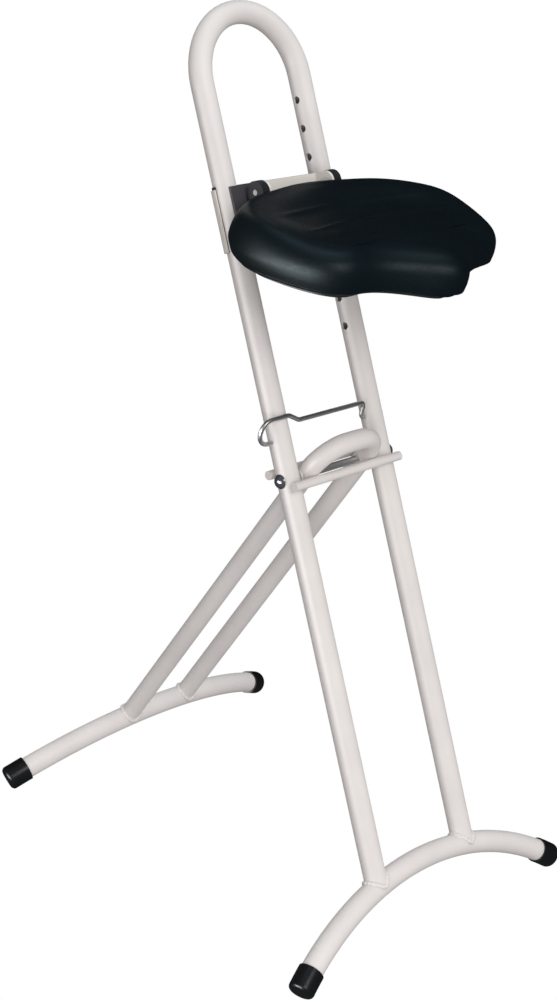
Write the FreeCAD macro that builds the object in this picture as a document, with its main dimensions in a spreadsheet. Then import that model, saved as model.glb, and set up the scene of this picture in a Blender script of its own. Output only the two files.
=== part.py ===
import FreeCAD, Part
import math
import os
import Sketcher

V = FreeCAD.Vector
doc = FreeCAD.newDocument("perch_stool")

# Folding perch stool: a tall leaning tube loop, a shorter rear tube loop hinged to it,
# and a moulded seat on a carriage that slides on the loop's two legs.
# X is across, the sitter faces -Y, Z is up. Lengths in mm, angles in degrees.
# Along the main frame, levels are measured on the tubes' centre plane from the floor.
S = {
    # main frame
    "lean": 26.5, "frame_tube": 25.0, "tube_wall": 2.0, "frame_pitch": 144.5,
    "bend_level": 944.7, "front_foot_bend": 351.4, "front_foot_half": 212.0,
    "foot_tube": 25.0, "weld_root": 2.0,
    "top_hole": 917.7, "hole_pitch": 31.1, "lock_hole": 8.5, "hole_rows": 9,
    # feet
    "cap_wall": 1.9, "cap_fit": 0.05, "cap_reach": 24.0, "cap_round": 5.0, "cap_end": 3.0,
    "cap_flat": 0.8,
    # pivot and stops
    "pivot_level": 525.0, "axle": 8.0, "run_fit": 0.05, "axle_out": 2.6,
    "dome": 16.0, "dome_rise": 5.0, "dome_floor": 2.0,
    "spacer_od": 15.0, "side_play": 0.3, "stop_rod": 10.0, "stop_len": 166.0, "stop_gap": 0.3,
    # rear frame
    "rear_angle": 29.6, "rear_tube": 22.0, "rear_pitch": 91.3, "loop_rise": 41.8,
    "loop_bend": 36.0, "rear_foot_bend": 409.2, "rear_foot_half": 207.1,
    # wire catch
    "catch_level": 567.0, "catch_wire": 5.0, "finger_bend": 14.3, "finger_in": 90.7,
    "catch_bar": 19.8, "bar_half": 54.0, "bar_bend": 6.0, "kink_out": 66.0, "kink_in": 49.0,
    "catch_end": 3.3, "catch_inner": 65.0, "catch_gap": 0.3,
    # carriage
    "slide_low": 770.0, "slide_high": 836.0, "slider_half": 78.0, "slider_front": 2.0,
    "slide_gap": 0.3, "core_back": 12.8, "core_half": 64.0, "liner": 0.8, "collar": 3.0,
    "clamp_sheet": 1.5, "web_sheet": 3.0, "wing_half": 49.0, "hinge_off": 12.0,
    "wing_round": 11.6, "hinge_pin": 6.0, "bolt": 6.0, "bolt_head": 12.0, "bolt_rise": 3.3,
    "bolt_half": 30.0, "bolt_low": 783.0, "bolt_step": 25.0, "bolt_play": 0.25,
    "nut_flat": 10.0, "nut_thick": 5.0, "bolt_tail": 1.5, "web_bend": 4.0,
    # height lock
    "lock_pin": 8.0, "pin_rest": 0.5, "pin_inner": 26.0, "pin_travel": 7.0,
    "knob_stem": 4.0, "knob": 12.0, "knob_thick": 9.0, "knob_stand": 2.0, "stem_place": 31.0,
    "spring_wire": 0.8, "spring_turns": 14.0, "spring_fit": 0.3,
    # seat
    "rear_mid": -3.0, "rear_half": 59.0, "rear_place": 5.0, "corner_half": 108.0,
    "corner_place": 21.0, "side_half": 154.0, "side_rear": 77.0, "side_front": 118.0,
    "wing_tip_half": 110.0, "wing_tip_place": 189.0, "waist_half": 84.0, "waist_place": 194.0,
    "nose_half": 34.0, "nose_side": 221.0, "nose_place": 240.0, "seat_tilt": 2.5,
    "seat_top": 9.0, "seat_low": -42.0, "bulge_level": -22.0, "top_inset": 18.0,
    "low_inset": 11.0, "dish": 8.0, "dish_inset": 48.0,
    "base_sheet": 5.0, "base_inset": 22.0, "ear_width": 10.0, "ear_gap": 0.5, "ear_round": 12.0,
    "tongue_play": 4.0, "ear_clear": 1.5,
    "screw": 5.0, "screw_head": 10.0, "screw_rise": 2.5, "screw_long": 16.0,
    "screw_half": 55.0, "screw_rear": 75.0, "screw_front": 165.0,
}


def root(v):
    return math.sqrt(v)


def cap_low(r_cap, r_round, t_up):
    """Height of a cap's centre line over its flat sole, for a tangent rising by t_up."""
    return (r_cap - r_round) * root(1 - t_up ** 2) + r_round - S["cap_flat"]


# Sizes that follow from the ones above.
lean = math.radians(S["lean"])
back = math.radians(S["rear_angle"])
r_cap = S["foot_tube"] / 2 + S["cap_wall"]
S["cap_radius"] = r_cap
S["pitch_half"] = S["frame_pitch"] / 2
S["rear_half_pitch"] = S["rear_pitch"] / 2
end_f = math.asin(S["front_foot_half"] / S["front_foot_bend"])
near_f = end_f - S["cap_round"] / S["front_foot_bend"]
drop_f = S["front_foot_bend"] * (1 - math.cos(near_f))
low_f = cap_low(r_cap, S["cap_round"], math.sin(near_f) * math.cos(lean))
S["front_apex"] = low_f / math.cos(lean) + drop_f
end_r = math.asin(S["rear_foot_half"] / S["rear_foot_bend"])
near_r = end_r - S["cap_round"] / S["rear_foot_bend"]
drop_r = S["rear_foot_bend"] * (1 - math.cos(near_r))
low_r = cap_low(r_cap, S["cap_round"], math.sin(near_r) * math.cos(back))
S["rear_leg"] = (S["pivot_level"] * math.cos(lean) - low_r) / math.cos(back) - drop_r
S["front_centre"] = S["front_apex"] - S["front_foot_bend"]
S["rear_centre"] = -S["rear_leg"] - S["rear_foot_bend"]
S["front_leg_end"] = (S["front_centre"] + S["weld_root"]
                      + root(S["front_foot_bend"] ** 2 - S["pitch_half"] ** 2))
S["rear_leg_end"] = (S["rear_centre"] + S["weld_root"]
                     + root(S["rear_foot_bend"] ** 2 - S["rear_half_pitch"] ** 2))
open_angle = lean + back
S["rod_off"] = (S["frame_tube"] + S["stop_rod"]) / 2
reach = (S["rear_tube"] + S["stop_rod"]) / 2 + S["stop_gap"]
S["rod_step"] = (reach - S["rod_off"] * math.cos(open_angle)) / math.sin(open_angle)
S["slider_face"] = S["frame_tube"] / 2 + S["slider_front"]
S["web_face"] = S["slider_face"] + S["web_sheet"]
S["hinge_n"] = S["web_face"] + S["hinge_off"]
S["hinge_level"] = S["slide_high"] - S["wing_round"]
S["wing_reach"] = S["hinge_n"] + S["wing_round"]
S["groove"] = S["frame_tube"] / 2 + S["slide_gap"]
S["liner_out"] = S["groove"] + S["liner"]
S["clamp_out"] = S["liner_out"] + S["clamp_sheet"]
S["pin_level"] = S["top_hole"] - 3 * S["hole_pitch"]

sheet = doc.addObject("Spreadsheet::Sheet", "Sizes")
for row, (word, number) in enumerate(S.items(), start=1):
    sheet.set("A%d" % row, word)
    sheet.set("B%d" % row, repr(float(number)))
    sheet.setAlias("B%d" % row, word)
doc.recompute()

parts = []


def keep(obj, label, place):
    """Name a finished sub-part and put it in the assembly."""
    obj.Label = label
    obj.Placement = place
    parts.append(obj)
    return obj


def main_at(x=0.0, level=0.0, off=0.0, turn=None):
    """Placement on the main frame: level along the tubes, off towards the sitter."""
    frame = FreeCAD.Placement(V(0, 0, 0), FreeCAD.Rotation(V(1, 0, 0), -S["lean"]))
    turn = turn or FreeCAD.Rotation()
    return frame.multiply(FreeCAD.Placement(V(x, -off, level), turn))


def rear_at(x=0.0, level=0.0, turn=None):
    """Placement on the rear frame: level from the pivot, up the rear legs."""
    spot = V(0, S["pivot_level"] * math.sin(lean), S["pivot_level"] * math.cos(lean))
    frame = FreeCAD.Placement(spot, FreeCAD.Rotation(V(1, 0, 0), S["rear_angle"]))
    turn = turn or FreeCAD.Rotation()
    return frame.multiply(FreeCAD.Placement(V(x, 0, level), turn))


def seat_at():
    """Placement of the seat: its nose dips a little, and its origin is on the hinge axis."""
    spot = main_at(0, S["hinge_level"], S["hinge_n"]).Base
    return FreeCAD.Placement(spot, FreeCAD.Rotation(V(1, 0, 0), S["seat_tilt"]))


ALONG_X = FreeCAD.Rotation(V(0, 1, 0), 90)
ALONG_BACK = FreeCAD.Rotation(V(1, 0, 0), -90)


# Sketch helpers: every position and size is a constraint bound to the sheet.
def new_body(name):
    return doc.addObject("PartDesign::Body", name)


def sketch(body, name, role, level=None):
    sk = body.newObject("Sketcher::SketchObject", name)
    plane = [o for o in body.Origin.OriginFeatures if o.Role == role][0]
    sk.AttachmentSupport = [(plane, "")]
    sk.MapMode = "FlatFace"
    if level:
        sk.setExpression("AttachmentOffset.Base.z", level)
    return sk


def tie(sk, constraint, rule):
    number = sk.addConstraint(constraint)
    sk.setExpression("Constraints[%d]" % number, rule)


def ring(sk, x, y, *diameters):
    """Concentric circles at x, y."""
    for diameter in diameters:
        circle = Part.Circle(V(1, 1, 0), V(0, 0, 1), 1)
        g = sk.addGeometry(circle, False)
        tie(sk, Sketcher.Constraint("Diameter", g, 2.0), diameter)
        tie(sk, Sketcher.Constraint("DistanceX", -1, 1, g, 3, 1.0), x)
        tie(sk, Sketcher.Constraint("DistanceY", -1, 1, g, 3, 1.0), y)


def outline(sk, points):
    """Closed polygon through points given as pairs of rules."""
    count = len(points)
    spots = []
    for k in range(count):
        a = 2 * math.pi * k / count
        spots.append(V(10 * math.cos(a), 10 * math.sin(a), 0))
    lines = []
    for k in range(count):
        lines.append(sk.addGeometry(Part.LineSegment(spots[k], spots[(k + 1) % count]), False))
    for k in range(count):
        sk.addConstraint(Sketcher.Constraint("Coincident", lines[k], 2, lines[(k + 1) % count], 1))
    for k, (x, y) in enumerate(points):
        tie(sk, Sketcher.Constraint("DistanceX", -1, 1, lines[k], 1, 1.0), x)
        tie(sk, Sketcher.Constraint("DistanceY", -1, 1, lines[k], 1, 1.0), y)


def axis_line(sk, x, y, upright=False):
    """Construction line used as a turning axis."""
    end = V(1, 5, 0) if upright else V(5, 1, 0)
    g = sk.addGeometry(Part.LineSegment(V(1, 1, 0), end), True)
    sk.addConstraint(Sketcher.Constraint("Vertical" if upright else "Horizontal", g))
    sk.addConstraint(Sketcher.Constraint("Distance", g, 4.0))
    tie(sk, Sketcher.Constraint("DistanceX", -1, 1, g, 1, 1.0), x)
    tie(sk, Sketcher.Constraint("DistanceY", -1, 1, g, 1, 1.0), y)


def pad(body, name, sk, length, symmetric=False, reverse=False):
    f = body.newObject("PartDesign::Pad", name)
    f.Profile = sk
    if symmetric:
        f.SideType = "Symmetric"
    f.Reversed = reverse
    f.setExpression("Length", length)
    return f


def cut(body, name, sk, length, symmetric=False, reverse=False):
    f = body.newObject("PartDesign::Pocket", name)
    f.Profile = sk
    if symmetric:
        f.SideType = "Symmetric"
    f.Reversed = reverse
    f.setExpression("Length", length)
    return f


def turned(body, name, sk, angle, axis="Axis0", kind="Revolution", symmetric=True, reverse=False):
    f = body.newObject("PartDesign::" + kind, name)
    f.Profile = sk
    f.ReferenceAxis = (sk, [axis])
    f.Midplane = symmetric
    f.Reversed = reverse
    f.setExpression("Angle", angle)
    return f


def rounded(body, name, edges, radius):
    before = body.Tip
    f = body.newObject("PartDesign::Fillet", name)
    f.Base = (before, edges)
    f.setExpression("Radius", radius)
    body.Tip = f
    return f


def primitive(kind, name, place=None, **rules):
    obj = doc.addObject("Part::" + kind, name)
    for prop, rule in rules.items():
        obj.setExpression(prop, rule)
    if place:
        obj.Placement = place
    return obj


def joined(name, shapes):
    obj = doc.addObject("Part::MultiFuse", name)
    obj.Shapes = shapes
    return obj


def minus(name, base, tool):
    obj = doc.addObject("Part::Cut", name)
    obj.Base = base
    obj.Tool = tool
    return obj


BORE = "Sizes.frame_tube - 2 * Sizes.tube_wall"

# Main tube: an upright loop, bent through a half circle at the handle, its legs coped
# to the front foot tube, with a row of lock holes in each inner wall.
body = new_body("main_tube_body")
sk = sketch(body, "handle_section", "YZ_Plane")
axis_line(sk, "0", "Sizes.bend_level")
ring(sk, "0", "Sizes.bend_level + Sizes.pitch_half", "Sizes.frame_tube", BORE)
turned(body, "handle", sk, "180")
sk = sketch(body, "leg_section", "XY_Plane", "Sizes.bend_level")
ring(sk, "-Sizes.pitch_half", "0", "Sizes.frame_tube", BORE)
ring(sk, "Sizes.pitch_half", "0", "Sizes.frame_tube", BORE)
pad(body, "legs", sk, "Sizes.bend_level - Sizes.front_leg_end", reverse=True)
sk = sketch(body, "cope_section", "YZ_Plane")
axis_line(sk, "0", "Sizes.front_centre")
ring(sk, "0", "Sizes.front_apex", "Sizes.foot_tube")
turned(body, "foot_cope", sk, "60", kind="Groove")
sk = sketch(body, "lock_hole_row", "YZ_Plane")
for k in range(int(S["hole_rows"])):
    ring(sk, "0", "Sizes.top_hole - %d * Sizes.hole_pitch" % k, "Sizes.lock_hole")
cut(body, "lock_holes", sk, "Sizes.frame_pitch", symmetric=True)
sk = sketch(body, "axle_hole_section", "YZ_Plane")
ring(sk, "0", "Sizes.pivot_level", "Sizes.axle + 2 * Sizes.run_fit")
cut(body, "axle_holes", sk, "2 * Sizes.frame_pitch", symmetric=True)
sk = sketch(body, "catch_hole_section", "YZ_Plane", "-Sizes.pitch_half")
ring(sk, "0", "Sizes.catch_level", "Sizes.catch_wire + 2 * Sizes.run_fit")
cut(body, "catch_hole_left", sk, "Sizes.frame_tube")
sk = sketch(body, "catch_hole_section_2", "YZ_Plane", "0")
ring(sk, "0", "Sizes.catch_level", "Sizes.catch_wire + 2 * Sizes.run_fit")
cut(body, "catch_hole_right", sk, "Sizes.frame_pitch", reverse=True)
keep(body, "main_tube", main_at())

# Foot tubes: each an arc in its frame's plane, high in the middle.
for label, centre, bend, angle, place in (
        ("front_foot_tube", "Sizes.front_centre", "Sizes.front_foot_bend", end_f, main_at()),
        ("rear_foot_tube", "Sizes.rear_centre", "Sizes.rear_foot_bend", end_r, rear_at())):
    sub = angle - S["cap_end"] / (S["front_foot_bend"] if "front" in label else S["rear_foot_bend"])
    body = new_body(label + "_body")
    sk = sketch(body, label + "_section", "YZ_Plane")
    axis_line(sk, "0", centre)
    ring(sk, "0", "%s + %s" % (centre, bend), "Sizes.foot_tube",
         "Sizes.foot_tube - 2 * Sizes.tube_wall")
    turned(body, label + "_arc", sk, "%.9f" % (2 * math.degrees(sub)))
    keep(body, label, place)


# Rubber foot caps: sleeves over the ends of the foot tubes, closed and rounded.
def foot_cap(label, side, bend, end, hub, at):
    body = new_body(label + "_body")
    reach = "(Sizes.cap_reach + Sizes.cap_end) / Sizes.%s * 180 / pi" % bend
    sk = sketch(body, label + "_outer", "YZ_Plane")
    ring(sk, "0", "Sizes." + bend, "2 * Sizes.cap_radius")
    turned(body, label + "_sleeve", sk, reach, "H_Axis", symmetric=False, reverse=side < 0)
    doc.recompute()
    rim = []
    for number, edge in enumerate(body.Shape.Edges, start=1):
        curve = edge.Curve
        if not isinstance(curve, Part.Circle):
            continue
        if abs(curve.Radius - S["cap_radius"]) < 0.01 and abs(curve.Center.x) > 5:
            rim.append("Edge%d" % number)
    rounded(body, label + "_round", rim, "Sizes.cap_round")
    sk = sketch(body, label + "_inner", "YZ_Plane")
    ring(sk, "0", "Sizes." + bend, "Sizes.foot_tube + 2 * Sizes.cap_fit")
    bore = "Sizes.cap_reach / Sizes.%s * 180 / pi" % bend
    turned(body, label + "_bore", sk, bore, "H_Axis", "Groove", False, side < 0)
    swing = math.degrees(end - (S["cap_reach"] + S["cap_end"]) / S[bend])
    turn = FreeCAD.Rotation(V(0, 1, 0), side * swing)
    body.Placement = at(0, S[hub], turn=turn)
    floor = primitive("Box", label + "_floor", FreeCAD.Placement(
        V(-500, -100, -50), FreeCAD.Rotation()), Length="1000", Width="800", Height="50")
    keep(minus(label + "_solid", body, floor), label, FreeCAD.Placement())


for side, word in ((-1, "left"), (1, "right")):
    foot_cap("front_%s_foot_cap" % word, side, "front_foot_bend", end_f, "front_centre", main_at)
    foot_cap("rear_%s_foot_cap" % word, side, "rear_foot_bend", end_r, "rear_centre", rear_at)

# Rear tube: a narrower loop whose top turns over above the pivot and whose legs are
# coped to the rear foot tube.
REAR_BORE = "Sizes.rear_tube - 2 * Sizes.tube_wall"
body = new_body("rear_tube_body")
sk = sketch(body, "loop_top_section", "YZ_Plane")
ring(sk, "0", "Sizes.loop_rise", "Sizes.rear_tube", REAR_BORE)
pad(body, "loop_top", sk, "Sizes.rear_pitch - 2 * Sizes.loop_bend", symmetric=True)
for side, sign in (("left", "-"), ("right", "")):
    sk = sketch(body, "loop_%s_section" % side, "XZ_Plane")
    sk_turn = sketch(body, "loop_%s_corner_section" % side, "XY_Plane",
                     "Sizes.loop_rise - Sizes.loop_bend")
    body.removeObject(sk)
    doc.removeObject(sk.Name)
    axis_line(sk_turn, "%s(Sizes.rear_half_pitch - Sizes.loop_bend)" % sign, "0", upright=True)
    ring(sk_turn, "%sSizes.rear_half_pitch" % sign, "0", "Sizes.rear_tube", REAR_BORE)
    turned(body, "loop_%s_corner" % side, sk_turn, "90", symmetric=False, reverse=side == "right")
sk = sketch(body, "rear_leg_section", "XY_Plane", "Sizes.loop_rise - Sizes.loop_bend")
ring(sk, "-Sizes.rear_half_pitch", "0", "Sizes.rear_tube", REAR_BORE)
ring(sk, "Sizes.rear_half_pitch", "0", "Sizes.rear_tube", REAR_BORE)
pad(body, "rear_legs", sk, "Sizes.loop_rise - Sizes.loop_bend - Sizes.rear_leg_end", reverse=True)
sk = sketch(body, "rear_cope_section", "YZ_Plane")
axis_line(sk, "0", "Sizes.rear_centre")
ring(sk, "0", "Sizes.rear_centre + Sizes.rear_foot_bend", "Sizes.foot_tube")
turned(body, "rear_foot_cope", sk, "60", kind="Groove")
sk = sketch(body, "rear_axle_section", "YZ_Plane")
ring(sk, "0", "0", "Sizes.axle + 2 * Sizes.run_fit")
cut(body, "rear_axle_holes", sk, "2 * Sizes.rear_pitch", symmetric=True)
keep(body, "rear_tube", rear_at())

# Stop rods: welded across the main legs, before and behind them, where they meet the
# open rear legs.
for label, sign in (("front_stop_rod", 1), ("rear_stop_rod", -1)):
    rod = primitive("Cylinder", label + "_solid", Radius="Sizes.stop_rod / 2",
                    Height="Sizes.stop_len")
    keep(rod, label, main_at(-S["stop_len"] / 2, S["pivot_level"] - sign * S["rod_step"],
                             sign * S["rod_off"], ALONG_X))

# Pivot axle with a dome cap on each end and a spacer beside each rear leg.
axle_half = S["pitch_half"] + S["frame_tube"] / 2 + S["axle_out"]
axle = primitive("Cylinder", "pivot_axle_solid", Radius="Sizes.axle / 2",
                 Height="Sizes.frame_pitch + Sizes.frame_tube + 2 * Sizes.axle_out")
keep(axle, "pivot_axle", main_at(-axle_half, S["pivot_level"], 0, ALONG_X))
DOME_R = "((Sizes.dome / 2) ^ 2 + Sizes.dome_rise ^ 2) / (2 * Sizes.dome_rise)"
dome_r = ((S["dome"] / 2) ** 2 + S["dome_rise"] ** 2) / (2 * S["dome_rise"])
gap_in = S["rear_half_pitch"] + S["rear_tube"] / 2 + S["side_play"]
SPACE = ("Sizes.pitch_half - Sizes.frame_tube / 2 - Sizes.rear_half_pitch"
         " - Sizes.rear_tube / 2 - 2 * Sizes.side_play")
for side, word in ((-1, "left"), (1, "right")):
    face = S["pitch_half"] + S["frame_tube"] / 2
    turn = FreeCAD.Rotation(V(0, 1, 0), side * 90)
    ball = primitive("Sphere", word + "_dome", FreeCAD.Placement(V(0, 0, -dome_r + S["dome_rise"]),
                     FreeCAD.Rotation()), Radius=DOME_R,
                     Angle1="asin((%s - Sizes.dome_rise) / (%s))" % (DOME_R, DOME_R))
    hole = primitive("Cylinder", word + "_dome_bore", FreeCAD.Placement(V(0, 0, -1),
                     FreeCAD.Rotation()), Radius="Sizes.axle / 2 + Sizes.run_fit",
                     Height="1 + Sizes.dome_rise - Sizes.dome_floor")
    cap = minus(word + "_axle_cap_solid", ball, hole)
    keep(cap, word + "_axle_cap", main_at(side * face, S["pivot_level"], 0, turn))
    tube = primitive("Cylinder", word + "_spacer_disc", Radius="Sizes.spacer_od / 2", Height=SPACE)
    hole = primitive("Cylinder", word + "_spacer_bore", Radius="Sizes.axle / 2 + Sizes.run_fit",
                     Height=SPACE)
    ringed = minus(word + "_spacer_solid", tube, hole)
    keep(ringed, word + "_pivot_spacer", main_at(side * gap_in, S["pivot_level"], 0, turn))


# Wire catch: one bent wire turning in holes of the main legs. Its finger loop goes
# round outside the left leg and its crossbar drops behind the rear loop.
def bent_path(corners):
    """Wire of straight runs with rounded corners, each corner given with its radius."""
    edges = []
    start = V(*corners[0][0])
    for k in range(1, len(corners) - 1):
        (p0, _), (p1, r), (p2, _) = corners[k - 1], corners[k], corners[k + 1]
        p0, p1, p2 = V(*p0), V(*p1), V(*p2)
        a = (p0 - p1).normalize()
        b = (p2 - p1).normalize()
        half = a.getAngle(b) / 2
        run = r / math.tan(half)
        t1 = p1 + a * run
        t2 = p1 + b * run
        mid = p1 + (a + b).normalize() * (r / math.sin(half) - r)
        if (t1 - start).Length > 1e-6:
            edges.append(Part.makeLine(start, t1))
        edges.append(Part.Arc(t1, mid, t2).toShape())
        start = t2
    edges.append(Part.makeLine(start, V(*corners[-1][0])))
    return Part.Wire(edges)


def swept(path, radius):
    first = path.Edges[0]
    spot = first.valueAt(first.FirstParameter)
    way = first.tangentAt(first.FirstParameter)
    section = Part.Wire(Part.makeCircle(radius, spot, way))
    return path.makePipeShell([section], True, False)


out_f = S["finger_in"]
loop_top = 2 * S["finger_bend"]
far = S["pitch_half"] + S["frame_tube"] / 2 + S["catch_end"]
b = S["finger_bend"]
corners = [
    ((-S["catch_inner"], 0, 0), 0),
    ((-out_f - b, 0, 0), b * 0.999),
    ((-out_f - b, 0, loop_top), b * 0.999),
    ((-S["kink_out"], 0, loop_top), 12.0),
    ((-S["kink_in"], 0, S["catch_bar"]), 12.0),
    ((S["bar_half"], 0, S["catch_bar"]), S["bar_bend"]),
    ((S["bar_half"], 0, 0), S["bar_bend"]),
    ((far, 0, 0), 0),
]
catch = doc.addObject("Part::Feature", "wire_catch_solid")
catch.Shape = swept(bent_path(corners), S["catch_wire"] / 2)
# The catch lies on the front of the left leg at both ends of its swing.
clear = (S["frame_tube"] + S["catch_wire"]) / 2 + S["catch_gap"]
catch_lean = math.degrees(math.asin(clear / loop_top))
keep(catch, "wire_catch", main_at(0, S["catch_level"], 0,
                                  FreeCAD.Rotation(V(1, 0, 0), catch_lean)))

# Front slider: the moulded half of the carriage that runs on the fronts of the main
# legs and fills the space between them. It carries the lock pins.
HIGH = "Sizes.slide_high - Sizes.slide_low"
slider = primitive("Box", "slider_plate", FreeCAD.Placement(V(-S["slider_half"], -S["slider_face"],
                   0), FreeCAD.Rotation()), Length="2 * Sizes.slider_half",
                   Width="Sizes.slider_face", Height=HIGH)
core = primitive("Box", "slider_core", FreeCAD.Placement(V(-S["core_half"], -1, 0),
                 FreeCAD.Rotation()), Length="2 * Sizes.core_half",
                 Width="Sizes.core_back + 1", Height=HIGH)
whole = joined("slider_block", [slider, core])
tools = []
for side, word in ((-1, "left"), (1, "right")):
    tools.append(primitive("Cylinder", word + "_groove", FreeCAD.Placement(
        V(side * S["pitch_half"], 0, -1), FreeCAD.Rotation()), Radius="Sizes.groove",
        Height=HIGH + " + 2"))
pin_z = S["pin_level"] - S["slide_low"]
tools.append(primitive("Cylinder", "pin_bore", FreeCAD.Placement(
    V(-S["pitch_half"], 0, pin_z), ALONG_X), Radius="Sizes.lock_pin / 2 + Sizes.run_fit",
    Height="Sizes.frame_pitch"))
SLOT_LONG = "Sizes.pin_travel + Sizes.knob_stem + 4 * Sizes.slide_gap"
SLOT_HIGH = "Sizes.knob_stem + 2 * Sizes.slide_gap"


def slots(name, near, width):
    """Slots through which the knob stems reach the lock pins."""
    found = []
    low = pin_z - S["knob_stem"] / 2 - S["slide_gap"]
    inner = S["stem_place"] - S["knob_stem"] / 2 - 2 * S["slide_gap"]
    long = S["pin_travel"] + S["knob_stem"] + 4 * S["slide_gap"]
    for side, word in ((-1, "left"), (1, "right")):
        x = inner if side > 0 else -inner - long
        found.append(primitive("Box", "%s_%s_slot" % (name, word), FreeCAD.Placement(
            V(x, near, low), FreeCAD.Rotation()), Length=SLOT_LONG, Width=width, Height=SLOT_HIGH))
    return found


def bolt_holes(name, low, high):
    """Holes for the four clamp bolts, from low to high behind the sitter's side."""
    found = []
    for i, x in enumerate((-S["bolt_half"], S["bolt_half"])):
        for j in range(2):
            z = S["bolt_low"] - S["slide_low"] + j * S["bolt_step"]
            hole = primitive("Cylinder", "%s_hole_%d%d" % (name, i, j), FreeCAD.Placement(
                V(x, low, z), ALONG_BACK), Radius="Sizes.bolt / 2 + Sizes.bolt_play")
            hole.Height = high - low
            found.append(hole)
    return found


tools += slots("slider", 0.0, "Sizes.core_back + 1")
tools += bolt_holes("slider", -S["slider_face"] - 1, S["core_back"] + 1)
slider = minus("front_slider_solid", whole, joined("slider_tools", tools))
keep(slider, "front_slider", main_at(0, S["slide_low"]))


# Liner and clamp plate: a strip behind the legs whose ends wrap round their outer sides.
def wrap(label, inner, outer, extra):
    pieces = []
    for side, word in ((-1, "left"), (1, "right")):
        turn = FreeCAD.Rotation(V(0, 0, 1), 0 if side > 0 else 90)
        spot = FreeCAD.Placement(V(side * S["pitch_half"], 0, 0), turn)
        disc = primitive("Cylinder", "%s_%s_out" % (label, word), spot, Radius="Sizes." + outer,
                         Height=HIGH + extra, Angle="90")
        hole = primitive("Cylinder", "%s_%s_in" % (label, word), FreeCAD.Placement(
            V(side * S["pitch_half"], 0, -1), FreeCAD.Rotation()), Radius="Sizes." + inner,
            Height=HIGH + extra + " + 2")
        pieces.append(minus("%s_%s_arc" % (label, word), disc, hole))
    strip = primitive("Box", label + "_strip", FreeCAD.Placement(
        V(-S["pitch_half"], S[inner], 0), FreeCAD.Rotation()), Length="Sizes.frame_pitch",
        Width="Sizes.%s - Sizes.%s" % (outer, inner), Height=HIGH + extra)
    pieces.append(strip)
    holes = slots(label, S[inner] - 1, "Sizes.%s - Sizes.%s + 2" % (outer, inner))
    holes += bolt_holes(label, S[inner] - 1, S[outer] + 1)
    solid = minus(label + "_solid", joined(label + "_sheet", pieces),
                  joined(label + "_tools", holes))
    keep(solid, label, main_at(0, S["slide_low"]))


wrap("slider_liner", "groove", "liner_out", " + Sizes.collar")
wrap("clamp_plate", "liner_out", "clamp_out", "")

# Seat bracket: a bent U whose wings carry the seat hinge.
body = new_body("seat_bracket_body")
sk = sketch(body, "bracket_section", "XY_Plane")
IN = "Sizes.wing_half - Sizes.web_sheet"
outline(sk, [("-Sizes.wing_half", "-Sizes.slider_face"), ("Sizes.wing_half", "-Sizes.slider_face"),
             ("Sizes.wing_half", "-Sizes.wing_reach"), (IN, "-Sizes.wing_reach"),
             (IN, "-Sizes.web_face"), ("-(%s)" % IN, "-Sizes.web_face"),
             ("-(%s)" % IN, "-Sizes.wing_reach"), ("-Sizes.wing_half", "-Sizes.wing_reach")])
pad(body, "bracket_bend", sk, HIGH)
doc.recompute()


def upright_edges(shape, x, y):
    """Edges parallel to Z through x and y, on either side."""
    names = []
    for number, edge in enumerate(shape.Edges, start=1):
        a, b = edge.Vertexes[0].Point, edge.Vertexes[-1].Point
        if abs(a.x - b.x) + abs(a.y - b.y) > 0.01:
            continue
        if abs(abs(a.x) - x) < 0.01 and abs(a.y - y) < 0.01:
            names.append("Edge%d" % number)
    return names


rounded(body, "outer_bends", upright_edges(body.Shape, S["wing_half"], -S["slider_face"]),
        "Sizes.web_bend")
doc.recompute()
inner = S["wing_half"] - S["web_sheet"]
rounded(body, "inner_bends", upright_edges(body.Shape, inner, -S["web_face"]),
        "Sizes.web_bend - Sizes.web_sheet")
doc.recompute()
front = []
for number, edge in enumerate(body.Shape.Edges, start=1):
    a, b2 = edge.Vertexes[0].Point, edge.Vertexes[-1].Point
    flat = abs(a.y - b2.y) + abs(a.z - b2.z) < 0.01
    if flat and abs(a.y + S["wing_reach"]) < 0.01:
        front.append("Edge%d" % number)
rounded(body, "wing_corners", front, "Sizes.wing_round - 0.001")
sk = sketch(body, "hinge_hole_section", "YZ_Plane")
ring(sk, "-Sizes.hinge_n", "Sizes.hinge_level - Sizes.slide_low",
     "Sizes.hinge_pin + 2 * Sizes.run_fit")
cut(body, "hinge_holes", sk, "4 * Sizes.wing_half", symmetric=True)
sk = sketch(body, "bracket_bolt_section", "XZ_Plane")
for x in ("-Sizes.bolt_half", "Sizes.bolt_half"):
    for j in range(2):
        ring(sk, x, "Sizes.bolt_low - Sizes.slide_low + %d * Sizes.bolt_step" % j,
             "Sizes.bolt + 2 * Sizes.bolt_play")
cut(body, "bracket_bolt_holes", sk, "4 * Sizes.web_face", symmetric=True)
keep(body, "seat_bracket", main_at(0, S["slide_low"]))

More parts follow.
